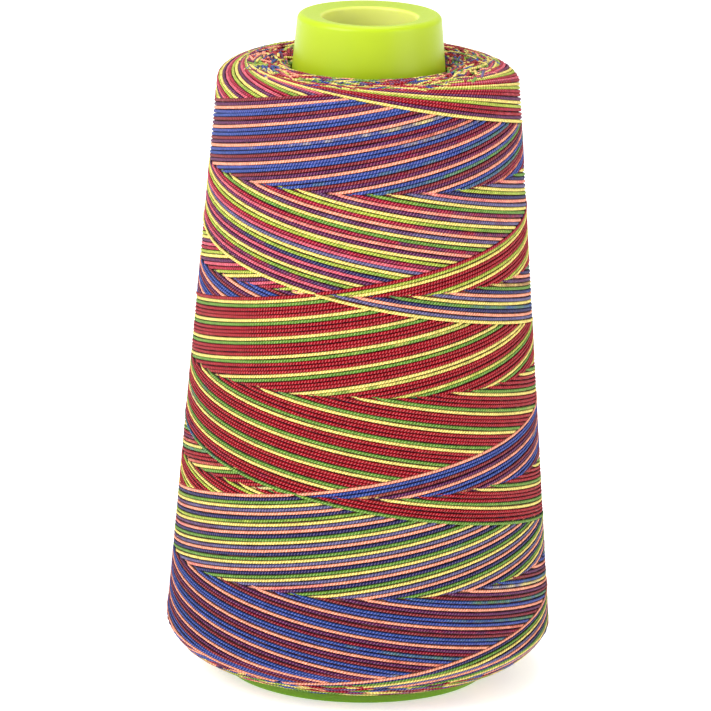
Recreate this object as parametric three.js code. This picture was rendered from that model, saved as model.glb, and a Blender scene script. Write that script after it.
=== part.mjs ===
// A cone of overlock thread: a hollow moulded core carrying one cross-wound thread.
// Millimetres, +Z up. The origin is the centre of the core's foot, on the surface it stands on.
import * as THREE from 'three';

// Driving dimensions of the moulded core
const CORE_HEIGHT = 110;
const CORE_HALF_ANGLE = THREE.MathUtils.degToRad(5.1);
const CORE_TOP_RADIUS = 11.65;
const CORE_WALL = 1.6;
const LIP_RADIUS = 1.2;
const FOOT_RADIUS = 21.9;
const FOOT_HEIGHT = 1.4;
const FOOT_EDGE = 0.3;

// The socket that a cone holder enters, hanging inside the top plate
const SOCKET_RADIUS = 7.7;
const SOCKET_DEPTH = 9;
const SOCKET_WALL = 1.3;
const SOCKET_EDGE = 0.5;
const TOP_PLATE = 2;

// Driving dimensions of the wound thread
const FIT_GAP = 0.3;
const WIDEST_RADIUS = 31.75;
const WIDEST_HEIGHT = 7.85;
const BELLY_RADIUS = 29.2;
const BELLY_HEIGHT = 2.9;
const SHOULDER_RADIUS = 24.6;
const SHOULDER_HEIGHT = 99.1;
const CREST_RADIUS = 16.5;
const CREST_HEIGHT = 102.4;
const DIP_RADIUS = 14;
const COLLAR_HEIGHT = 100.9;

// How finely the turned shapes are cut
const SIDES = 80;
const EDGE_STEPS = 4;
const DOME_STEPS = 8;

// Outer radius of the core's tapered wall at height z.
function coreRadius(z) {
  return CORE_TOP_RADIUS + (CORE_HEIGHT - z) * Math.tan(CORE_HALF_ANGLE);
}

// Points along a path of radius and height, without repeats where its segments join.
function outlinePoints(path, steps) {
  const points = path.curves.flatMap((curve) => curve.getPoints(curve.isLineCurve ? 1 : steps));
  return points.filter((point, i) => i === 0 || point.distanceTo(points[i - 1]) > 1e-6);
}

// A closed outline of radius and height, turned about the Z axis.
function turned(name, points, material) {
  const geometry = new THREE.LatheGeometry(points, SIDES);
  geometry.rotateX(Math.PI / 2);
  const mesh = new THREE.Mesh(geometry, material);
  mesh.name = name;
  return mesh;
}

// The core: foot rim, tapered wall, rounded lip, top plate and the socket inside it.
function corePath() {
  const innerFoot = coreRadius(0) - CORE_WALL;
  const ceiling = CORE_HEIGHT - TOP_PLATE;
  const socketEnd = CORE_HEIGHT - SOCKET_DEPTH;
  const socketOutside = SOCKET_RADIUS + SOCKET_WALL;
  const lipStart = CORE_HEIGHT - LIP_RADIUS;
  const path = new THREE.Path();
  path.moveTo(innerFoot, 0);
  path.lineTo(FOOT_RADIUS - FOOT_EDGE, 0);
  path.absarc(FOOT_RADIUS - FOOT_EDGE, FOOT_EDGE, FOOT_EDGE, -Math.PI / 2, 0);
  path.lineTo(FOOT_RADIUS, FOOT_HEIGHT);
  path.lineTo(coreRadius(FOOT_HEIGHT), FOOT_HEIGHT);
  path.lineTo(coreRadius(lipStart), lipStart);
  path.absarc(coreRadius(lipStart) - LIP_RADIUS, lipStart, LIP_RADIUS, 0, Math.PI / 2);
  path.lineTo(SOCKET_RADIUS + SOCKET_EDGE, CORE_HEIGHT);
  path.absarc(SOCKET_RADIUS + SOCKET_EDGE, CORE_HEIGHT - SOCKET_EDGE, SOCKET_EDGE, Math.PI / 2, Math.PI);
  path.lineTo(SOCKET_RADIUS, socketEnd);
  path.lineTo(socketOutside, socketEnd);
  path.lineTo(socketOutside, ceiling);
  path.lineTo(coreRadius(ceiling) - CORE_WALL, ceiling);
  path.lineTo(innerFoot, 0);
  return path;
}

// The wound thread: bellied bottom shoulder, tapered flank and a rounded top that dips to the collar.
function threadPath() {
  const bottom = FOOT_HEIGHT + FIT_GAP;
  const innerTop = coreRadius(COLLAR_HEIGHT) + FIT_GAP;
  const domeWidth = SHOULDER_RADIUS - CREST_RADIUS;
  const domeHeight = CREST_HEIGHT - SHOULDER_HEIGHT;
  const path = new THREE.Path();
  path.moveTo(coreRadius(bottom) + FIT_GAP, bottom);
  path.lineTo(FOOT_RADIUS, bottom);
  path.quadraticCurveTo(BELLY_RADIUS, BELLY_HEIGHT, WIDEST_RADIUS, WIDEST_HEIGHT);
  path.lineTo(SHOULDER_RADIUS, SHOULDER_HEIGHT);
  path.absellipse(CREST_RADIUS, SHOULDER_HEIGHT, domeWidth, domeHeight, 0, Math.PI / 2);
  path.quadraticCurveTo(DIP_RADIUS, CREST_HEIGHT, innerTop, COLLAR_HEIGHT);
  path.lineTo(coreRadius(bottom) + FIT_GAP, bottom);
  return path;
}

const limePlastic = new THREE.MeshStandardMaterial({ color: 0xb4e62c, roughness: 0.35, metalness: 0 });
const dyedThread = new THREE.MeshStandardMaterial({ color: 0xa8506a, roughness: 0.8, metalness: 0 });

const threadCone = new THREE.Group();
threadCone.add(turned('cone_core', outlinePoints(corePath(), EDGE_STEPS), limePlastic));
threadCone.add(turned('wound_thread', outlinePoints(threadPath(), DOME_STEPS), dyedThread));

export default threadCone;
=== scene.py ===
"""The looks of a cone of variegated overlock thread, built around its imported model."""

import math
import random

import bpy
import numpy as np
from mathutils import Matrix, Vector, noise as field


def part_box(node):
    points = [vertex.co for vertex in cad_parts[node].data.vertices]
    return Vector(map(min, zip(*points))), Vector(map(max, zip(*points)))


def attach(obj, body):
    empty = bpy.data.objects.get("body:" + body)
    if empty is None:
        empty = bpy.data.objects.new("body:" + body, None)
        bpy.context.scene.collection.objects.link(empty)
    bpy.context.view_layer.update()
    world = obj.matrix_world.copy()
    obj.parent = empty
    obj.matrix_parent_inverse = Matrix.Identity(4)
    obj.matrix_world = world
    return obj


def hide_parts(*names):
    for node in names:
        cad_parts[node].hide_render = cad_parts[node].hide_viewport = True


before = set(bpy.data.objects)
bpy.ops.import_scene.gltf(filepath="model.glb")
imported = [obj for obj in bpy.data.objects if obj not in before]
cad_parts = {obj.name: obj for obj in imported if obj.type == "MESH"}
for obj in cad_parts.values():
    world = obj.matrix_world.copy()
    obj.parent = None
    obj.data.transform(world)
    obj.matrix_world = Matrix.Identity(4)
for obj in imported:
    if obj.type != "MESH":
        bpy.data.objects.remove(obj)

bl_info = {
    "name": "Thread cone",
    "version": (1, 0, 0),
    "blender": (4, 5, 0),
    "location": "View3D > Sidebar > Thread cone",
    "description": "A moulded cone core carrying one long cross-wound, space-dyed thread",
    "category": "Add Mesh",
}

MM = 0.001
BODY = "root"

CORE_LOW, CORE_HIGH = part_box("cone_core")
PACK_LOW, PACK_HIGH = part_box("wound_thread")
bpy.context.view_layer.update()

# The core's turned shape, in metres
CORE_HEIGHT = CORE_HIGH.z
FOOT_RADIUS = CORE_HIGH.x
CORE_TOP_RADIUS = 11.65 * MM
CORE_SLOPE = math.tan(math.radians(5.1))
FOOT_HEIGHT = 1.4 * MM
FOOT_EDGE = 0.3 * MM
SOCKET_RADIUS = 7.7 * MM
SOCKET_DEPTH = 9 * MM
SOCKET_WALL = 1.3 * MM
SOCKET_EDGE = 0.5 * MM
TOP_PLATE = 2 * MM
RIM_DISH = 0.4 * MM

# How finely turned shapes are cut, and the angle from which an edge looks sharp
TURNED_SIDES = 160
WALL_RINGS = 24
LIP_STEPS = 12
SHARP_ANGLE = math.radians(40)

# The arcs of the lip and of the socket's edge, in degrees: the wall and the dished rim meet them at a slant
LIP_ARC = (8, 90)
SOCKET_EDGE_ARC = (75, 180)

# The wound package's outline, in metres
WIDEST_RADIUS = PACK_HIGH.x
WIDEST_HEIGHT = 7.85 * MM
BELLY_RADIUS = 29.2 * MM
BELLY_HEIGHT = 2.9 * MM
SHOULDER_RADIUS = 24.6 * MM
SHOULDER_HEIGHT = 99.1 * MM
CREST_RADIUS = 16.5 * MM
CREST_HEIGHT = PACK_HIGH.z
DIP_RADIUS = 14 * MM
COLLAR_HEIGHT = 100.9 * MM
FIT_GAP = 0.3 * MM
BED_DEPTH = 0.5 * MM

# How finely the outline's three curves are cut
BELLY_STEPS = 24
DOME_STEPS = 32
DIP_STEPS = 12

# How the winding lies: seven level rings where rising and falling passes meet
RING_COUNT = 7
LOWEST_RING = 4.0 * MM
RING_GAP = 16.35 * MM
FIRST_CROSSING = math.radians(-25)
CROSSING_DRIFT = math.radians(2)

# The dye along the thread, read row by row
DYE_CARD = """
    yellow yellow yellow maroon red
    red purple grey purple red
    red pink peach peach red
    red crimson navy blue yellow
    green green leaf blue leaf
""".split()

# The dye moves on by a row and a little more from one pass to the next, and by one cell over this
# length of a pass
DYE_ROW = 5
DYE_DRIFT = 0.02
DYE_REACH = 180 * MM


def srgb(code):
    """The linear colour of a six-digit colour code."""
    shares = [int(code[i:i + 2], 16) / 255 for i in (0, 2, 4)]
    return tuple(s / 12.92 if s <= 0.04045 else ((s + 0.055) / 1.055) ** 2.4 for s in shares)


def length(name, description, default):
    """A length that the user can change."""
    return bpy.props.FloatProperty(
        name=name, description=description, default=default, unit="LENGTH", subtype="DISTANCE", precision=5)


def colour(name, description, code):
    """A colour that the user can change."""
    return bpy.props.FloatVectorProperty(
        name=name, description=description, default=srgb(code), subtype="COLOR", size=3, min=0, max=1)


class ConeCoreSettings(bpy.types.PropertyGroup):
    """Sizes and colour of the moulded core."""

    wall: length("Wall", "Thickness of the tapered wall", 1.6 * MM)
    lip_radius: length("Lip radius", "Rounding of the rim at the top of the collar", 1.0 * MM)
    plastic: colour("Plastic", "Colour of the translucent plastic", "a6bc12")
    # Painted shade: a deeper green for the wall under the thread and the foot, where the plastic lies in
    # shade
    shaded_plastic: colour("Covered plastic", "Colour of the plastic under the thread and at the foot", "6c9a18")
    # Painted light: this paler colour stands in for light shining through the thin plastic of the socket
    socket: colour("Socket", "Paler colour inside the socket", "d8dc78")


class ThreadSettings(bpy.types.PropertyGroup):
    """Size, winding and dyes of the thread."""

    width: length("Width", "Width of the thread as it lies on the cone", 0.57 * MM)
    thickness: length("Thickness", "Height of the thread as it lies on the cone", 0.54 * MM)
    step: length("Step", "Length of one straight step along the thread", 2.8 * MM)
    passes: bpy.props.IntProperty(
        name="Passes", description="Passes side by side round the cone", default=53, min=12, max=80)
    yellow: colour("Yellow", "Dye colour", "ead270")
    green: colour("Green", "Dye colour", "a4b23c")
    leaf: colour("Leaf green", "Dye colour", "608c2c")
    red: colour("Red", "Dye colour", "980316")
    crimson: colour("Crimson", "Dye colour", "a0102e")
    maroon: colour("Maroon", "Dye colour", "780c28")
    purple: colour("Purple", "Dye colour", "581c4c")
    grey: colour("Grey violet", "Dye colour", "5e5a84")
    navy: colour("Navy", "Dye colour", "28285a")
    blue: colour("Blue", "Dye colour", "284092")
    peach: colour("Peach", "Dye colour", "f09a7c")
    pink: colour("Pink", "Dye colour", "cc5468")
    # A painted highlight: this pale colour is mixed into the crown of each ply where it faces out
    fibre_highlight: colour("Fibre", "Pale fibre ends that catch the light on each ply", "f0dcdc")


class StageSettings(bpy.types.PropertyGroup):
    """Camera and floor."""

    distance: length("Distance", "How far the camera stands from the middle of the cone", 907.4 * MM)
    elevation: bpy.props.FloatProperty(
        name="Elevation", description="Camera angle above the horizon",
        default=math.radians(14.66), subtype="ANGLE")
    roll: bpy.props.FloatProperty(
        name="Roll", description="Camera turn about its own line of sight",
        default=math.radians(1.15), subtype="ANGLE")
    focal_length: bpy.props.FloatProperty(
        name="Focal length", description="Lens of the camera in millimetres", default=279.96, unit="CAMERA")
    floor: colour("Floor", "Colour of the floor", "f6f6f4")


# ---------------------------------------------------------------- outlines

def core_radius(height):
    """Outer radius of the core's tapered wall."""
    return CORE_TOP_RADIUS + (CORE_HEIGHT - height) * CORE_SLOPE


def arc(centre, radius, start, end, steps=8):
    """Points of radius and height on an arc, with its angles in degrees."""
    angles = np.radians(np.linspace(start, end, steps + 1))
    return [(centre[0] + radius * math.cos(a), centre[1] + radius * math.sin(a)) for a in angles]


class Outline:
    """The package's outside from the foot to the collar, by a height that runs on round both shoulders."""

    def __init__(self):
        share = np.linspace(0, 1, BELLY_STEPS + 1)[:, None]
        ends = [np.array(p) for p in (
            (FOOT_RADIUS, PACK_LOW.z), (BELLY_RADIUS, BELLY_HEIGHT), (WIDEST_RADIUS, WIDEST_HEIGHT))]
        belly = (1 - share) ** 2 * ends[0] + 2 * share * (1 - share) * ends[1] + share ** 2 * ends[2]
        turn = np.linspace(0, math.pi / 2, DOME_STEPS + 1)
        dome = np.stack([
            CREST_RADIUS + (SHOULDER_RADIUS - CREST_RADIUS) * np.cos(turn),
            SHOULDER_HEIGHT + (CREST_HEIGHT - SHOULDER_HEIGHT) * np.sin(turn)], axis=1)
        share = np.linspace(0, 1, DIP_STEPS + 1)[1:, None]
        collar = np.array((core_radius(COLLAR_HEIGHT) + FIT_GAP, COLLAR_HEIGHT))
        dip = (1 - share) ** 2 * dome[-1] + 2 * share * (1 - share) * np.array((DIP_RADIUS, CREST_HEIGHT))
        self.points = np.concatenate([belly, dome, dip + share ** 2 * collar])
        lengths = np.linalg.norm(np.diff(self.points, axis=0), axis=1)
        lengths[len(belly) - 1] = SHOULDER_HEIGHT - WIDEST_HEIGHT
        along = np.concatenate([[0], np.cumsum(lengths)])
        self.along = along - along[len(belly) - 1] + WIDEST_HEIGHT
        slopes = np.gradient(self.points, self.along, axis=0)
        normals = np.stack([slopes[:, 1], -slopes[:, 0]], axis=1)
        self.normals = normals / np.linalg.norm(normals, axis=1)[:, None]

    def at(self, along):
        """Radius and height, and the outward direction, at running heights."""
        place = [np.interp(along, self.along, self.points[:, i]) for i in (0, 1)]
        outward = [np.interp(along, self.along, self.normals[:, i]) for i in (0, 1)]
        return np.stack(place, axis=-1), np.stack(outward, axis=-1)


OUTLINE = Outline()


# ---------------------------------------------------------------- meshes

def turned_mesh(name, profile):
    """A closed outline of radius and height, turned about the Z axis."""
    profile = np.array(profile)
    angles = np.linspace(0, 2 * math.pi, TURNED_SIDES, endpoint=False)
    points = np.stack([
        np.outer(np.cos(angles), profile[:, 0]),
        np.outer(np.sin(angles), profile[:, 0]),
        np.tile(profile[:, 1], (TURNED_SIDES, 1))], axis=-1).reshape(-1, 3)
    count = len(profile)
    faces = []
    for side in range(TURNED_SIDES):
        here, there = side * count, (side + 1) % TURNED_SIDES * count
        for i in range(count):
            j = (i + 1) % count
            faces.append((here + i, there + i, there + j, here + j))
    mesh = bpy.data.meshes.new(name)
    mesh.from_pydata(points.tolist(), [], faces)
    mesh.update()
    return mesh


def place(mesh, material, replaced, slot):
    """Puts a finished mesh on the object's body in place of its plain solid."""
    mesh.polygons.foreach_set("use_smooth", [True] * len(mesh.polygons))
    mesh.materials.append(material)
    piece = bpy.data.objects.new(mesh.name, mesh)
    bpy.context.scene.collection.objects.link(piece)
    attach(piece, BODY)
    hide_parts(replaced)


# The centre line lies this far inside the package's outside
SUNK = 0.26 * MM


class Strand:
    """One visible stretch of the thread: its angle, running height, lift off the package and dye."""

    def __init__(self, turn, along, lift, dye):
        self.turn = np.asarray(turn, float)
        self.along = np.asarray(along, float)
        self.lift = np.asarray(lift, float) - SUNK
        self.dye = np.asarray(dye, float)

    def line(self):
        """Centre line and outward directions."""
        place_at, outward = OUTLINE.at(self.along)
        place_at = place_at + outward * self.lift[:, None]
        around = np.stack([np.sin(self.turn), -np.cos(self.turn)], axis=1)
        points = np.column_stack([around * place_at[:, :1], place_at[:, 1]])
        normals = np.column_stack([around * outward[:, :1], outward[:, 1]])
        return points, normals


# A strand's section: its sides, and how slim its two ends are
SECTION_SIDES = 8
END_TAPER = 0.45

# The bake layout lays strands in rows: the rows' spacing in girths, and the gap between two strands
BAKE_SPACING = 1.2
BAKE_MARGIN = 0.4 * MM


def strand_mesh(name, strands, width, thickness):
    """Every strand as a closed round-ended tube, with its dye and its length kept for the material."""
    points, faces, dyes, strand_uv, bake_uv = [], [], [], [], []
    angles = np.linspace(0, 2 * math.pi, SECTION_SIDES, endpoint=False)
    around = np.arange(SECTION_SIDES + 1) / SECTION_SIDES
    girth = math.pi * (width + thickness) / 2
    lines = [strand.line() for strand in strands]
    total = sum(np.linalg.norm(np.diff(centre, axis=0), axis=1).sum() for centre, _ in lines)
    side = math.sqrt((total + len(lines) * BAKE_MARGIN) * girth * BAKE_SPACING)
    row, filled, base = 0, 0.0, 0
    for strand, (centre, normal) in zip(strands, lines):
        tangent = np.gradient(centre, axis=0)
        tangent /= np.linalg.norm(tangent, axis=1)[:, None]
        across = np.cross(tangent, normal)
        across /= np.linalg.norm(across, axis=1)[:, None]
        normal = np.cross(across, tangent)
        run = np.concatenate([[0], np.cumsum(np.linalg.norm(np.diff(centre, axis=0), axis=1))])
        slim = np.ones(len(centre))
        slim[[0, -1]] = END_TAPER
        rings = (
            centre[:, None]
            + normal[:, None] * (np.cos(angles) * thickness / 2)[None, :, None] * slim[:, None, None]
            + across[:, None] * (np.sin(angles) * width / 2)[None, :, None] * slim[:, None, None])
        points.append(rings.reshape(-1, 3))
        dyes.append(np.repeat(strand.dye, SECTION_SIDES))
        for i in range(len(centre) - 1):
            if filled + run[i + 1] - run[i] > side:
                row, filled = row + 1, 0.0
            left = filled / side
            filled += run[i + 1] - run[i]
            right = filled / side
            low = row * girth * BAKE_SPACING / side
            here, there = base + i * SECTION_SIDES, base + (i + 1) * SECTION_SIDES
            for j in range(SECTION_SIDES):
                k = (j + 1) % SECTION_SIDES
                faces.append((here + j, here + k, there + k, there + j))
                up, over = around[j], around[j + 1]
                strand_uv += [run[i], up, run[i], over, run[i + 1], over, run[i + 1], up]
                bottom, top = low + up * girth / side, low + over * girth / side
                bake_uv += [left, bottom, left, top, right, top, right, bottom]
        last = base + (len(centre) - 1) * SECTION_SIDES
        faces.append(tuple(base + j for j in reversed(range(SECTION_SIDES))))
        faces.append(tuple(last + j for j in range(SECTION_SIDES)))
        for distance, x in ((run[0], left), (run[-1], right)):
            for j in range(SECTION_SIDES):
                strand_uv += [distance, 0.5]
                bake_uv += [x, low + 0.5 * girth / side]
        filled += BAKE_MARGIN
        base += len(centre) * SECTION_SIDES
    mesh = bpy.data.meshes.new(name)
    mesh.from_pydata(np.concatenate(points).tolist(), [], faces)
    mesh.attributes.new("dye", "FLOAT", "POINT").data.foreach_set("value", np.concatenate(dyes))
    mesh.uv_layers.new(name="Strand").data.foreach_set("uv", strand_uv)
    mesh.uv_layers.new(name="OFBake").data.foreach_set("uv", bake_uv)
    mesh.update()
    return mesh


# ---------------------------------------------------------------- the winding

def ring_height(ring):
    """Running height of a ring."""
    return LOWEST_RING + ring * RING_GAP


def crossing(ring):
    """Angle on a ring at which the newest rising and falling passes cross."""
    return FIRST_CROSSING + ring * (CROSSING_DRIFT + math.pi)


def lead(direction):
    """Height gained in a radian of turn, for rising (+1) and falling (-1) passes."""
    return RING_GAP / (math.pi + direction * CROSSING_DRIFT)


def dive(run):
    """How far a strand sinks under its neighbours near its two ends."""
    near = np.minimum(run, run[-1] - run)
    return -DIVE_DEPTH * np.clip(1 - near / DIVE_REACH, 0, 1) ** 2


# The turn over which a falling pass bends round the top shoulder
SWEEP = 1.2

# Where on the dye card the newest pass of each ring starts, from the lowest ring up. No rising pass
# leaves the highest ring and no falling pass the lowest, so those two entries serve only the handover
RISING_DYES = (12, 11.3, 12.8, 13.6, 15, 2.6, 3.2)
FALLING_DYES = (13.2, 12.5, 24, 23.4, 2, 0.9, 0.2)

# The newest pass takes up the next ring's dyes over this last share of its way, and lies this much higher
HANDOVER = 0.3
NEWEST_LIFT = 0.1 * MM

# How far a strand runs on under its neighbours, and over what length and how deep it sinks there
TUCK = 1.5 * MM
DIVE_REACH = 3 * MM
DIVE_DEPTH = 0.34 * MM

# How unevenly the passes lie: a sideways wobble, with the waves in a radian of turn and where they start,
# and a difference in height. Their dyes are out of step by up to this many cells
WOBBLE = 0.05 * MM
WOBBLE_WAVES = (2, 5)
WOBBLE_PHASES = (0, 6)
UNEVEN_LIFT = 0.03 * MM
DYE_SHIFT = 0.3


def flank_strands(direction, settings, seed):
    """Rising (+1) or falling (-1) strands: each leaves its ring and ends under the newest crossing pass."""
    rng = random.Random(seed)
    starts = RISING_DYES if direction > 0 else FALLING_DYES
    climb = lead(direction)
    pitch = 2 * math.pi / settings.passes
    strands = []
    for ring in range(RING_COUNT):
        if (direction > 0 and ring == RING_COUNT - 1) or (direction < 0 and ring == 0):
            continue
        for n in range(settings.passes):
            height = RING_GAP * (1 - n / settings.passes)
            radius = OUTLINE.at(ring_height(ring) + direction * height / 2)[0][0]
            slant = math.hypot(radius, climb)
            tuck = TUCK / slant
            first, last = -tuck, height / climb + tuck
            if ring == RING_COUNT - 1:
                first = -SWEEP
            count = max(4, 1 + round((last - first) * slant / settings.step))
            x = np.linspace(first, last, count)
            wobble = WOBBLE * np.sin(x * rng.uniform(*WOBBLE_WAVES) + rng.uniform(*WOBBLE_PHASES))
            rise = np.where(x < 0, x * (1 + x / (2 * SWEEP)), x) if first == -SWEEP else x
            along = ring_height(ring) + direction * climb * rise + wobble
            run = (x - first) * slant
            lift = dive(run) + rng.uniform(-UNEVEN_LIFT, UNEVEN_LIFT)
            lift += NEWEST_LIFT if n == 0 else 0
            shift = rng.uniform(-DYE_SHIFT, DYE_SHIFT)
            dye = starts[ring] + (DYE_ROW + DYE_DRIFT) * n + shift + run / DYE_REACH
            if n == 0:
                change = starts[ring + direction] - starts[ring]
                change = (change + len(DYE_CARD) / 2) % len(DYE_CARD) - len(DYE_CARD) / 2
                share = np.clip((x / last - 1 + HANDOVER) / HANDOVER, 0, 1)
                dye = dye + (change - run[-1] / DYE_REACH) * share
            turn = crossing(ring) + n * pitch + x
            strands.append(Strand(turn, along, lift, dye / len(DYE_CARD)))
    return strands


# The shoulders' short arcs: the spacing of their layers, half an arc's length and the length of one step
ARC_LAYER = 0.32 * MM
TOP_ARC = 2.5 * MM
FOOT_ARC = 7 * MM
ARC_STEP = 1.6 * MM

# How many arcs lie over any place of a layer, and how an arc's length varies
ARC_COVER = 1.9
ARC_REACH = (0.7, 1.7)

# How far an arc bows outwards, climbs and sinks at its ends, and how unevenly arcs lie
ARC_BOW = 0.3 * MM
ARC_CLIMB = (0.5 * MM, 1.6 * MM)
ARC_DIVE = 0.35 * MM
ARC_SCATTER = 0.25 * MM
ARC_LIFT = 0.12 * MM
ARC_TURN = 0.1

# Patches of one dye on the shoulders, how far a single arc strays from its patch, and a cell's length
PATCH_SIZE = 5 * MM
PATCH_STRAY = 5
CELL_LENGTH = 3 * MM

# The arcs of the top shoulder begin this far above the highest ring
TOP_ARC_START = 2 * MM


def shoulder_strands(outer, inner, half_arc, seed):
    """Layers of short arcs where older passes turn back, from a shoulder's outer edge to its inner one."""
    rng = random.Random(seed)
    layers = round(abs(inner - outer) / ARC_LAYER)
    outward = math.copysign(1, outer - inner)
    strands = []
    for layer in range(layers + 1):
        middle = outer + (inner - outer) * layer / layers
        radius = OUTLINE.at(middle)[0][0]
        half = half_arc / radius
        arcs = round(ARC_COVER * math.pi / half)
        begin = rng.uniform(0, 2 * math.pi)
        for i in range(arcs):
            reach = half * rng.uniform(*ARC_REACH)
            x = np.linspace(-reach, reach, max(4, round(2 * reach * radius / ARC_STEP)))
            share = x / reach
            slant = rng.choice((-1, 1)) * rng.uniform(*ARC_CLIMB)
            along = middle + outward * ARC_BOW * share ** 2 + slant * share
            along = along + rng.uniform(-ARC_SCATTER, ARC_SCATTER)
            along = np.clip(along, OUTLINE.along[0], OUTLINE.along[-1])
            lift = -ARC_DIVE * np.abs(share) ** 3 + rng.uniform(-ARC_LIFT, ARC_LIFT)
            turn = begin + i * 2 * math.pi / arcs + x + rng.uniform(-ARC_TURN, ARC_TURN)
            spot = Vector((math.cos(turn[0]) * radius, math.sin(turn[0]) * radius, middle)) / PATCH_SIZE
            dye = (1 + field.noise(spot)) * len(DYE_CARD)
            dye = dye + rng.uniform(-PATCH_STRAY, PATCH_STRAY) + x * radius / CELL_LENGTH
            strands.append(Strand(turn, along, lift, dye / len(DYE_CARD)))
    return strands


# ---------------------------------------------------------------- materials

# How fine each noise is, to a metre
FIBRE_GRAIN = 3000
PATCH_GRAIN = 700
BLEED_GRAIN = 260
SHADE_GRAIN = 4000
SHADE_DYE_GRAIN = 300
FLOW_GRAIN = 60
MOULD_GRAIN = 2500

# The thread's plies: their number, the length of one twist, and the sharpness of their ridges
PLIES = 2
PLY_SPACING = 0.54 * MM
RIDGE_POWER = 1.6

# Where painted shade darkens a strand's sides, by the cosine of the angle from its top, and where and how
# strongly a pale painted highlight, standing in for light caught by the fibres, shows on its crown
SIDE_SHADE_RANGE = (-0.1, 0.85)
CROWN_HIGHLIGHT_RANGE = (0.7, 1.0)
CROWN_HIGHLIGHT_SHARE = 0.1

# The darkest and the brightest tone that each detail gives: the ply tones are painted shade in the grooves
# and a painted highlight on the ridges, the side tones painted shade on a strand's flanks, and the bed's
# tones painted shade
PLY_SHADE_TONES = (0.6, 1.2)
SIDE_SHADE_TONES = (0.16, 1.0)
FIBRE_TONES = (0.05, 2.0)
PATCH_TONES = (0.7, 1.3)
SHADE_TONES = (0.1, 0.4)
FLOW_TONES = (0.94, 1.06)

# How far the dyes bleed along the thread, in cells, and the share of a cell in which two dyes blend
BLEED = 0.3
CELL_BLEND = (0.32, 0.68)

# Height of the raised detail, the finer grain's share in it, and roughness
THREAD_RELIEF = 0.12 * MM
FIBRE_RELIEF = 0.8
SHADE_RELIEF = 0.1 * MM
PLASTIC_RELIEF = 0.15 * MM
MOULD_RELIEF = 0.05
THREAD_ROUGHNESS = (0.6, 0.9)
SHADE_ROUGHNESS = 0.9
PLASTIC_ROUGHNESS = (0.28, 0.42)

# The plastic: where the socket's paler colour, painted light shining through its thin wall, and the deeper
# colour, painted shade on the wall under the thread and at the foot, start and are full, and how deep light
# goes in
SOCKET_GLOW_RADII = (8.2 * MM, 7.6 * MM)
PLASTIC_SHADE_HEIGHTS = (103.5 * MM, 97 * MM)
GLOW_DEPTH = 3 * MM


def new_material(name):
    """A node material and its shader."""
    material = bpy.data.materials.new(name)
    material.use_nodes = True
    return material, material.node_tree, material.node_tree.nodes["Principled BSDF"]


def position_in(tree):
    """The place of each point of the surface."""
    return tree.nodes.new("ShaderNodeNewGeometry").outputs["Position"]


def math_node(tree, operation, first, second=None):
    """A Math node fed by sockets or numbers, and its result."""
    node = tree.nodes.new("ShaderNodeMath")
    node.operation = operation
    for socket, value in zip(node.inputs, (first, second)):
        if value is None:
            continue
        if isinstance(value, bpy.types.NodeSocket):
            tree.links.new(value, socket)
        else:
            socket.default_value = value
    return node.outputs[0]


def noise(tree, vector, scale, detail=2.0, roughness=0.5):
    """The grey value of a Noise Texture."""
    node = tree.nodes.new("ShaderNodeTexNoise")
    node.inputs["Scale"].default_value = scale
    node.inputs["Detail"].default_value = detail
    node.inputs["Roughness"].default_value = roughness
    tree.links.new(vector, node.inputs["Vector"])
    return node.outputs["Fac"]


def spread(tree, value, low, high):
    """A value from 0 to 1 brought between two others."""
    node = tree.nodes.new("ShaderNodeMapRange")
    node.inputs["To Min"].default_value = low
    node.inputs["To Max"].default_value = high
    tree.links.new(value, node.inputs["Value"])
    return node.outputs["Result"]


def blend_range(tree, value, none, full):
    """A smooth share: 0 where a value is at none, 1 where it is at full."""
    node = tree.nodes.new("ShaderNodeMapRange")
    node.interpolation_type = "SMOOTHSTEP"
    node.inputs["From Min"].default_value = none
    node.inputs["From Max"].default_value = full
    tree.links.new(value, node.inputs["Value"])
    return node.outputs["Result"]


def mixed(tree, share, first, second):
    """Two colours, given as colours or sockets, mixed by a share."""
    node = tree.nodes.new("ShaderNodeMix")
    node.data_type = "RGBA"
    tree.links.new(share, node.inputs["Factor"])
    for name, value in (("A", first), ("B", second)):
        socket = next(i for i in node.inputs if i.name == name and i.type == "RGBA")
        if isinstance(value, bpy.types.NodeSocket):
            tree.links.new(value, socket)
        else:
            socket.default_value = (*value, 1)
    return next(o for o in node.outputs if o.type == "RGBA")


def shaded(tree, base, value):
    """A colour multiplied by a grey value."""
    node = tree.nodes.new("ShaderNodeMix")
    node.data_type = "RGBA"
    node.blend_type = "MULTIPLY"
    node.inputs["Factor"].default_value = 1
    first, second = [i for i in node.inputs if i.type == "RGBA"]
    tree.links.new(base, first)
    tree.links.new(value, second)
    return next(o for o in node.outputs if o.type == "RGBA")


def bump(tree, shader, height, distance):
    """Raises the surface by a height value."""
    node = tree.nodes.new("ShaderNodeBump")
    node.inputs["Distance"].default_value = distance
    tree.links.new(height, node.inputs["Height"])
    tree.links.new(node.outputs["Normal"], shader.inputs["Normal"])


def dye_ramp(tree, settings, position):
    """The colour at a place on the dye card, with short blends between its cells."""
    cells = math_node(tree, "MULTIPLY", math_node(tree, "FRACT", position), len(DYE_CARD))
    share = blend_range(tree, math_node(tree, "FRACT", cells), *CELL_BLEND)
    sharp = math_node(tree, "ADD", math_node(tree, "FLOOR", cells), share)
    node = tree.nodes.new("ShaderNodeValToRGB")
    stops = node.color_ramp.elements
    while len(stops) < len(DYE_CARD) + 1:
        stops.new(0.5)
    for i, stop in enumerate(stops):
        stop.position = i / len(DYE_CARD)
        stop.color = (*getattr(settings, DYE_CARD[i % len(DYE_CARD)]), 1)
    tree.links.new(math_node(tree, "DIVIDE", sharp, len(DYE_CARD)), node.inputs["Fac"])
    return node.outputs["Color"]


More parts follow.
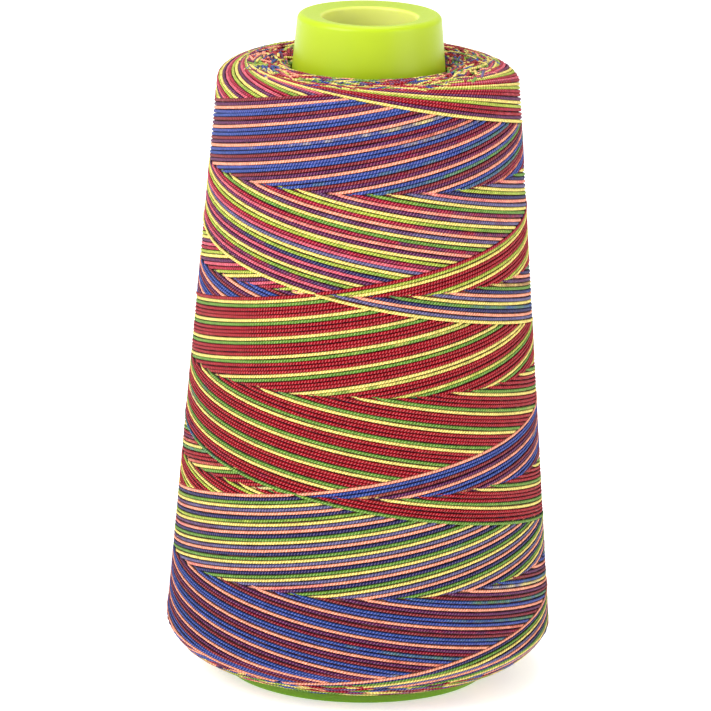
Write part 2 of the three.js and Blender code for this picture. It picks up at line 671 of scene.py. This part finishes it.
def thread_material(settings):
    """Spun and plied thread: space-dyed colour, a ply twist with painted shade in its grooves and painted
    highlights on its ridges, painted shade on each strand's flanks and a soft fuzz.
    """
    material, tree, shader = new_material("dyed_thread")
    position = position_in(tree)
    fibres = noise(tree, position, FIBRE_GRAIN, 3.0, 0.7)
    patches = noise(tree, position, PATCH_GRAIN)
    attribute = tree.nodes.new("ShaderNodeAttribute")
    attribute.attribute_name = "dye"
    soak = BLEED / len(DYE_CARD)
    bleed = spread(tree, noise(tree, position, BLEED_GRAIN, 3.0, 0.6), -soak, soak)
    dyed = dye_ramp(tree, settings, math_node(tree, "ADD", attribute.outputs["Fac"], bleed))
    strand = tree.nodes.new("ShaderNodeUVMap")
    strand.uv_map = "Strand"
    parts = tree.nodes.new("ShaderNodeSeparateXYZ")
    tree.links.new(strand.outputs["UV"], parts.inputs["Vector"])
    run, around = parts.outputs[0], parts.outputs[1]
    turns = math_node(tree, "DIVIDE", run, PLY_SPACING)
    twist = math_node(tree, "ADD", turns, math_node(tree, "MULTIPLY", around, PLIES))
    wave = math_node(tree, "ABSOLUTE", math_node(tree, "SINE", math_node(tree, "MULTIPLY", twist, math.pi)))
    ridge = math_node(tree, "POWER", wave, RIDGE_POWER)
    facing = math_node(tree, "COSINE", math_node(tree, "MULTIPLY", around, 2 * math.pi))
    side_shade = blend_range(tree, facing, *SIDE_SHADE_RANGE)
    # Painted highlight: the pale colour mixed into each ply's crown stands in for light caught by the
    # fibres
    crown_highlight = blend_range(tree, math_node(tree, "MULTIPLY", ridge, side_shade), *CROWN_HIGHLIGHT_RANGE)
    dyed = mixed(tree, math_node(tree, "MULTIPLY", crown_highlight, CROWN_HIGHLIGHT_SHARE), dyed, settings.fibre_highlight)
    # Painted shade: darker in the ply grooves and on a strand's flanks, with a painted highlight on the ply
    # ridges
    ply_and_side_shade = math_node(tree, "MULTIPLY", spread(tree, ridge, *PLY_SHADE_TONES), spread(tree, side_shade, *SIDE_SHADE_TONES))
    fuzz = math_node(
        tree, "MULTIPLY", spread(tree, fibres, *FIBRE_TONES), spread(tree, patches, *PATCH_TONES))
    tone = math_node(tree, "MULTIPLY", ply_and_side_shade, fuzz)
    tree.links.new(shaded(tree, dyed, tone), shader.inputs["Base Color"])
    height = math_node(tree, "ADD", ridge, math_node(tree, "MULTIPLY", fibres, FIBRE_RELIEF))
    bump(tree, shader, height, THREAD_RELIEF)
    tree.links.new(spread(tree, fibres, *THREAD_ROUGHNESS), shader.inputs["Roughness"])
    shader.inputs["Sheen Weight"].default_value = 0.1
    shader.inputs["Sheen Roughness"].default_value = 0.3
    shader.inputs["Specular IOR Level"].default_value = 0.06
    return material


def bed_material(settings):
    """Thread deep in the package, seen only between the strands over it."""
    material, tree, shader = new_material("thread_in_shade")
    position = position_in(tree)
    dyed = dye_ramp(tree, settings, noise(tree, position, SHADE_DYE_GRAIN, 1.0))
    tone = spread(tree, noise(tree, position, SHADE_GRAIN), *SHADE_TONES)
    tree.links.new(shaded(tree, dyed, tone), shader.inputs["Base Color"])
    bump(tree, shader, noise(tree, position, FIBRE_GRAIN), SHADE_RELIEF)
    shader.inputs["Roughness"].default_value = SHADE_ROUGHNESS
    return material


def plastic_material(settings):
    """Satin translucent moulded plastic: painted shade makes it deep green under the thread and at the
    foot, and painted light makes it pale inside the socket.
    """
    material, tree, shader = new_material("core_plastic")
    position = position_in(tree)
    flow = noise(tree, position, FLOW_GRAIN)
    grain = noise(tree, position, MOULD_GRAIN)
    parts = tree.nodes.new("ShaderNodeSeparateXYZ")
    tree.links.new(position, parts.inputs["Vector"])
    x, y, height = parts.outputs
    radius = math_node(tree, "SQRT", math_node(
        tree, "ADD", math_node(tree, "MULTIPLY", x, x), math_node(tree, "MULTIPLY", y, y)))
    # Painted light: paler inside the socket, where light shines through the thin plastic
    pale = blend_range(tree, radius, *SOCKET_GLOW_RADII)
    # Painted shade: the plastic turns deeper green downwards from the collar, under the thread and at the
    # foot
    deep = blend_range(tree, height, *PLASTIC_SHADE_HEIGHTS)
    body = mixed(tree, deep, settings.plastic, settings.shaded_plastic)
    base = mixed(tree, pale, body, settings.socket)
    tree.links.new(shaded(tree, base, spread(tree, flow, *FLOW_TONES)), shader.inputs["Base Color"])
    tree.links.new(spread(tree, grain, *PLASTIC_ROUGHNESS), shader.inputs["Roughness"])
    relief = math_node(tree, "ADD", flow, math_node(tree, "MULTIPLY", grain, MOULD_RELIEF))
    bump(tree, shader, relief, PLASTIC_RELIEF)
    shader.inputs["Subsurface Weight"].default_value = 0.5
    shader.inputs["Subsurface Radius"].default_value = (1.0, 1.0, 0.25)
    shader.inputs["Subsurface Scale"].default_value = GLOW_DEPTH
    shader.inputs["IOR"].default_value = 1.49
    shader.inputs["Specular IOR Level"].default_value = 0.35
    return material


# ---------------------------------------------------------------- operators

# Seeds of the four windings
RISING_SEED, FALLING_SEED, TOP_SEED, FOOT_SEED = 11, 23, 37, 53

# The stage: the floor's half width and faint glow, and the strength of the white surround
FLOOR_REACH = 6.0
FLOOR_GLOW = 0.45
SURROUND = 0.8

# The soft panels: name, place in metres, width in metres and power in watts
PANELS = (
    ("key", (-0.8, -0.6, 0.7), 0.8, 12.0),
    ("fill", (0.85, -0.5, 0.35), 0.7, 3.6),
    ("top", (0.0, 0.25, 1.1), 0.7, 5.0),
)

# The camera: sensor width in millimetres, lens shift in widths of the picture, and nearest visible distance
SENSOR_WIDTH = 36
LENS_SHIFT = (-0.0108, -0.0184)
CLIP_START = 10 * MM


class THREADCONE_OT_core(bpy.types.Operator):
    """Builds the moulded core: foot rim, tapered wall, rounded lip and the socket inside it"""

    bl_idname = "thread_cone.core"
    bl_label = "Cone core"

    def execute(self, context):
        settings = context.scene.cone_core
        wall, lip = settings.wall, settings.lip_radius
        inner_foot = core_radius(0) - wall
        ceiling = CORE_HEIGHT - TOP_PLATE
        outside = SOCKET_RADIUS + SOCKET_WALL
        lip_start = CORE_HEIGHT - lip
        socket_top = CORE_HEIGHT - RIM_DISH
        wall_heights = np.linspace(FOOT_HEIGHT, lip_start, WALL_RINGS)
        profile = [
            (inner_foot, 0),
            *arc((FOOT_RADIUS - FOOT_EDGE, FOOT_EDGE), FOOT_EDGE, -90, 0),
            *arc((FOOT_RADIUS - FOOT_EDGE, FOOT_HEIGHT - FOOT_EDGE), FOOT_EDGE, 0, 90),
            *[(core_radius(z), z) for z in wall_heights],
            *arc((core_radius(lip_start) - lip, lip_start), lip, *LIP_ARC, LIP_STEPS),
            *arc((SOCKET_RADIUS + SOCKET_EDGE, socket_top - SOCKET_EDGE), SOCKET_EDGE, *SOCKET_EDGE_ARC),
            (SOCKET_RADIUS, CORE_HEIGHT - SOCKET_DEPTH),
            (outside, CORE_HEIGHT - SOCKET_DEPTH),
            (outside, ceiling),
            (core_radius(ceiling) - wall, ceiling),
        ]
        mesh = turned_mesh("thread_cone_core", profile)
        place(mesh, plastic_material(settings), "cone_core", "core_plastic")
        mesh.set_sharp_from_angle(angle=SHARP_ANGLE)
        return {"FINISHED"}


class THREADCONE_OT_thread(bpy.types.Operator):
    """Winds the thread: rising and falling passes, the reversals on both shoulders and the bed below"""

    bl_idname = "thread_cone.thread"
    bl_label = "Wound thread"

    def execute(self, context):
        settings = context.scene.cone_thread
        material = thread_material(settings)
        top, bottom = OUTLINE.along[-1], OUTLINE.along[0]
        top_start = ring_height(RING_COUNT - 1) + TOP_ARC_START
        windings = {
            "thread_rising": flank_strands(1, settings, RISING_SEED),
            "thread_falling": flank_strands(-1, settings, FALLING_SEED),
            "thread_top_turns": shoulder_strands(top_start, top, TOP_ARC, TOP_SEED),
            "thread_foot_turns": shoulder_strands(ring_height(0), bottom, FOOT_ARC, FOOT_SEED),
        }
        for name, strands in windings.items():
            mesh = strand_mesh(name, strands, settings.width, settings.thickness)
            place(mesh, material, "wound_thread", "dyed_thread")
        self.bed(settings)
        return {"FINISHED"}

    def bed(self, settings):
        """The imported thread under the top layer, fitted round the core."""
        outside = OUTLINE.points - OUTLINE.normals * BED_DEPTH
        low = outside[0][1]
        profile = [(core_radius(low) + FIT_GAP, low), *map(tuple, outside[:-1])]
        place(turned_mesh("thread_bed", profile), bed_material(settings), "wound_thread", "dyed_thread")


class THREADCONE_OT_stage(bpy.types.Operator):
    """Sets the pale floor, the soft studio light and the camera"""

    bl_idname = "thread_cone.stage"
    bl_label = "Stage"

    def execute(self, context):
        settings = context.scene.cone_stage
        self.floor(settings)
        self.lights()
        self.camera(context, settings)
        context.scene.view_settings.view_transform = "Standard"
        return {"FINISHED"}

    def floor(self, settings):
        """A plain pale floor."""
        mesh = bpy.data.meshes.new("floor")
        corners = [(x * FLOOR_REACH, y * FLOOR_REACH, 0) for x, y in ((-1, -1), (1, -1), (1, 1), (-1, 1))]
        mesh.from_pydata(corners, [], [(0, 1, 2, 3)])
        material, _, shader = new_material("pale_floor")
        shader.inputs["Base Color"].default_value = (*settings.floor, 1)
        shader.inputs["Roughness"].default_value = 0.9
        shader.inputs["Specular IOR Level"].default_value = 0.1
        shader.inputs["Emission Color"].default_value = (1, 1, 1, 1)
        shader.inputs["Emission Strength"].default_value = FLOOR_GLOW
        mesh.materials.append(material)
        floor = bpy.data.objects.new("floor", mesh)
        bpy.context.scene.collection.objects.link(floor)

    def lights(self):
        """A white surround and three large soft panels."""
        world = bpy.context.scene.world or bpy.data.worlds.new("studio")
        bpy.context.scene.world = world
        world.use_nodes = True
        background = world.node_tree.nodes["Background"]
        background.inputs["Color"].default_value = (1, 1, 1, 1)
        background.inputs["Strength"].default_value = SURROUND
        middle = Vector((0, 0, CORE_HEIGHT / 2))
        for name, spot, size, power in PANELS:
            light = bpy.data.lights.new(name, "AREA")
            light.size = size
            light.energy = power
            lamp = bpy.data.objects.new(name, light)
            lamp.location = spot
            lamp.rotation_euler = (middle - Vector(spot)).to_track_quat("-Z", "Y").to_euler()
            bpy.context.scene.collection.objects.link(lamp)

    def camera(self, context, settings):
        """A long lens, a little above the cone and rolled slightly."""
        data = bpy.data.cameras.new("camera")
        data.lens = settings.focal_length
        data.sensor_width = SENSOR_WIDTH
        data.shift_x, data.shift_y = LENS_SHIFT
        data.clip_start = CLIP_START
        camera = bpy.data.objects.new("camera", data)
        tilt, roll = settings.elevation, settings.roll
        back = Vector((0, -math.cos(tilt), math.sin(tilt)))
        right, up = Vector((1, 0, 0)), Vector((0, math.sin(tilt), math.cos(tilt)))
        across = math.cos(roll) * right + math.sin(roll) * up
        upward = back.cross(across)
        turn = Matrix((across, upward, back)).transposed().to_4x4()
        centre = Vector((0, 0, CORE_HEIGHT / 2))
        camera.matrix_world = Matrix.Translation(centre + back * settings.distance) @ turn
        context.scene.collection.objects.link(camera)
        context.scene.camera = camera


class THREADCONE_PT_panel(bpy.types.Panel):
    """The cone's pieces and their settings"""

    bl_idname = "THREADCONE_PT_panel"
    bl_label = "Thread cone"
    bl_space_type = "VIEW_3D"
    bl_region_type = "UI"
    bl_category = "Thread cone"

    def draw(self, context):
        for operator, group in (
                ("thread_cone.stage", context.scene.cone_stage),
                ("thread_cone.core", context.scene.cone_core),
                ("thread_cone.thread", context.scene.cone_thread)):
            box = self.layout.box()
            box.operator(operator)
            for name in group.__annotations__:
                box.prop(group, name)


CLASSES = (
    ConeCoreSettings, ThreadSettings, StageSettings,
    THREADCONE_OT_core, THREADCONE_OT_thread, THREADCONE_OT_stage, THREADCONE_PT_panel,
)


def register():
    for cls in CLASSES:
        bpy.utils.register_class(cls)
    bpy.types.Scene.cone_core = bpy.props.PointerProperty(type=ConeCoreSettings)
    bpy.types.Scene.cone_thread = bpy.props.PointerProperty(type=ThreadSettings)
    bpy.types.Scene.cone_stage = bpy.props.PointerProperty(type=StageSettings)


def unregister():
    del bpy.types.Scene.cone_stage
    del bpy.types.Scene.cone_thread
    del bpy.types.Scene.cone_core
    for cls in reversed(CLASSES):
        bpy.utils.unregister_class(cls)


def main():
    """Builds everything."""
    register()
    bpy.ops.thread_cone.stage()
    bpy.ops.thread_cone.core()
    bpy.ops.thread_cone.thread()


if __name__ == "__main__":
    main()
